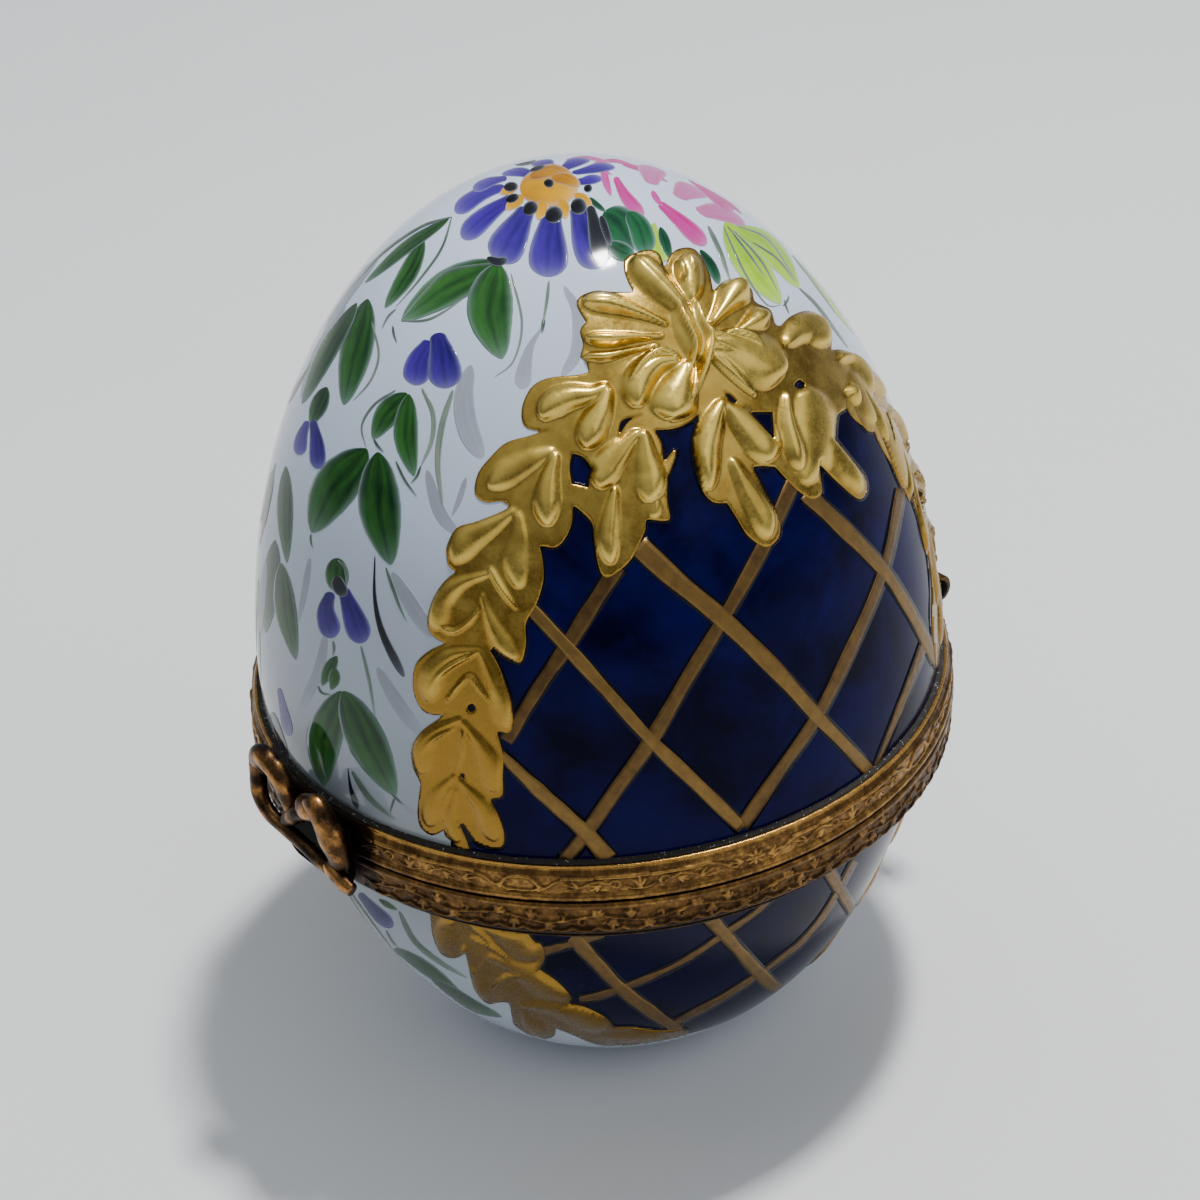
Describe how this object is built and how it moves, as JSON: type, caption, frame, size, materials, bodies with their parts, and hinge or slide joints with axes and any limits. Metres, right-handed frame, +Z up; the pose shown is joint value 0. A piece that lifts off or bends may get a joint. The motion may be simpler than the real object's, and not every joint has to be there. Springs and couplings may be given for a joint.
{
  "type": "egg trinket box",
  "caption": "Small egg-shaped porcelain trinket box with a domed lid, gilt brass mounts, back hinge and bow-shaped front clasp.",
  "frame": {"origin": "on the egg's axis, in the plane of the foot ring", "axes": "+Z up along the egg's axis, -Y towards the clasp at the front, +Y towards the hinge at the back, +X to the right of someone facing the clasp"},
  "size_m": [0.049, 0.0529, 0.0637],
  "materials": {
    "glazed_porcelain": "clear glossy glaze over bluish white porcelain",
    "cement_bedding": "dull gritty cement, darkened",
    "rim_brass": "satin, lightly worn",
    "antique_brass": "aged brown gilt, chased relief",
    "dark_brass": "oxidised dark brown",
    "bow_brass": "cast, aged brown with polished high spots"
  },
  "bodies": {
    "bowl": {"base_shell": "glazed_porcelain", "base_bedding": "cement_bedding", "base_rim_ring": "rim_brass", "base_band": "antique_brass", "base_knuckle_1": "antique_brass", "base_knuckle_3": "antique_brass", "base_knuckle_5": "antique_brass", "hinge_pin": "dark_brass", "catch_stud": "rim_brass"},
    "lid": {"lid_shell": "glazed_porcelain", "lid_bedding": "cement_bedding", "lid_rim_ring": "rim_brass", "lid_band": "antique_brass", "lid_knuckle_2": "antique_brass", "lid_knuckle_4": "antique_brass", "clasp_tongue": "dark_brass", "clasp_bow": "bow_brass"}
  },
  "joints": [
    {"name": "lid_hinge", "type": "hinge", "parent": "bowl", "child": "lid", "pos_m": [0, 0.02525, 0.0246], "axis": [-1, 0, 0], "range_deg": [0, 105]}
  ]
}
